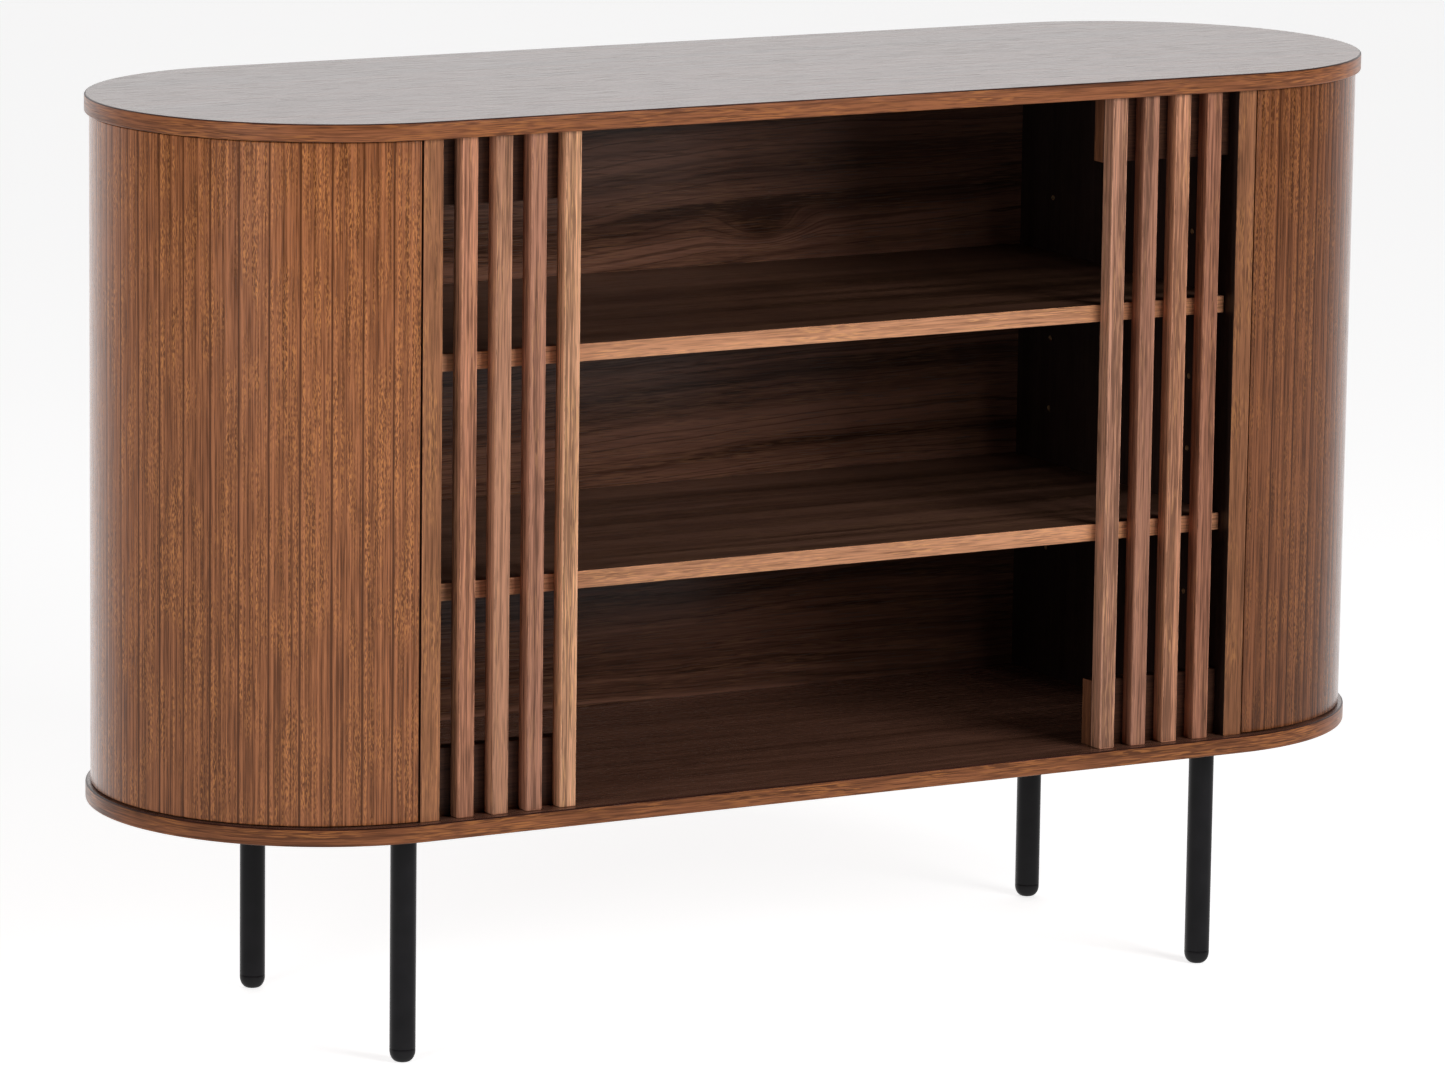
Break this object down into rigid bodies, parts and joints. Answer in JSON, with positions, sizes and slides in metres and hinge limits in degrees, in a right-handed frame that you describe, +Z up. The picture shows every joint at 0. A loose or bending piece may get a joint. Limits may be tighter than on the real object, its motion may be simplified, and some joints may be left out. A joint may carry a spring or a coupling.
{
  "type": "media cabinet",
  "caption": "Low walnut media cabinet with half-round closed ends, a wide open centre with adjustable shelves, fixed upright slat screens beside the opening and slim round metal legs.",
  "frame": {"origin": "on the floor under the middle of the cabinet", "axes": "+X along the width with the left end at -X, the open front faces -Y, +Z up"},
  "size_m": [1.1998, 0.4, 0.8],
  "materials": {
    "top_veneer": "walnut veneer with a satin lacquer, grain along the width, matching edge band",
    "bottom_veneer": "walnut veneer with a satin lacquer, grain along the width, matching edge band",
    "curved_veneer": "straight-grained walnut veneer with upright grain, satin lacquer",
    "partition_veneer": "walnut veneer with upright grain, satin lacquer",
    "interior_veneer": "dark figured walnut veneer, grain along the width, satin lacquer",
    "shelf_veneer": "dark walnut veneer, grain along the width, satin lacquer, lighter front edge band",
    "slat_wood": "solid walnut with upright grain, each slat a slightly different tone, satin lacquer",
    "rail_wood": "solid walnut with grain along the rail, satin lacquer",
    "plywood": "raw birch plywood and softwood, hidden inside the curved ends",
    "black_metal": "matt black powder coat",
    "black_plastic": "matt black moulded plastic",
    "zinc_steel": "bright zinc plate",
    "black_screw": "black oxide",
    "beech_dowel": "raw fluted beech"
  },
  "bodies": {
    "cabinet": {"top_panel": "top_veneer", "bottom_panel": "bottom_veneer", "left_curved_end": "curved_veneer", "right_curved_end": "curved_veneer", "left_partition": "partition_veneer", "right_partition": "partition_veneer", "back_panel": "interior_veneer", "left_slat_1": "slat_wood", "left_slat_2": "slat_wood", "left_slat_3": "slat_wood", "left_slat_4": "slat_wood", "right_slat_1": "slat_wood", "right_slat_2": "slat_wood", "right_slat_3": "slat_wood", "right_slat_4": "slat_wood", "left_top_rail": "rail_wood", "left_bottom_rail": "rail_wood", "right_top_rail": "rail_wood", "right_bottom_rail": "rail_wood", "left_top_former": "plywood", "left_bottom_former": "plywood", "right_top_former": "plywood", "right_bottom_former": "plywood", "left_front_batten": "plywood", "left_rear_batten": "plywood", "right_front_batten": "plywood", "right_rear_batten": "plywood", "front_left_leg": "black_metal", "rear_left_leg": "black_metal", "front_right_leg": "black_metal", "rear_right_leg": "black_metal", "front_left_leg_plate": "black_metal", "rear_left_leg_plate": "black_metal", "front_right_leg_plate": "black_metal", "rear_right_leg_plate": "black_metal", "front_left_foot_cap": "black_plastic", "rear_left_foot_cap": "black_plastic", "front_right_foot_cap": "black_plastic", "rear_right_foot_cap": "black_plastic", "upper_shelf_pins": "zinc_steel", "lower_shelf_pins": "zinc_steel", "carcass_screws": "zinc_steel", "slat_screws": "zinc_steel", "leg_plate_screws": "black_screw", "carcass_dowels": "beech_dowel", "rail_dowels": "beech_dowel"},
    "upper_shelf": {"upper_shelf": "shelf_veneer"},
    "lower_shelf": {"lower_shelf": "shelf_veneer"}
  },
  "joints": [
    {"name": "upper_shelf_lift", "type": "slide", "parent": "cabinet", "child": "upper_shelf", "axis": [0, 0, 1], "range_m": [0, 0.064]},
    {"name": "lower_shelf_lift", "type": "slide", "parent": "cabinet", "child": "lower_shelf", "axis": [0, 0, 1], "range_m": [0, 0.064]}
  ]
}
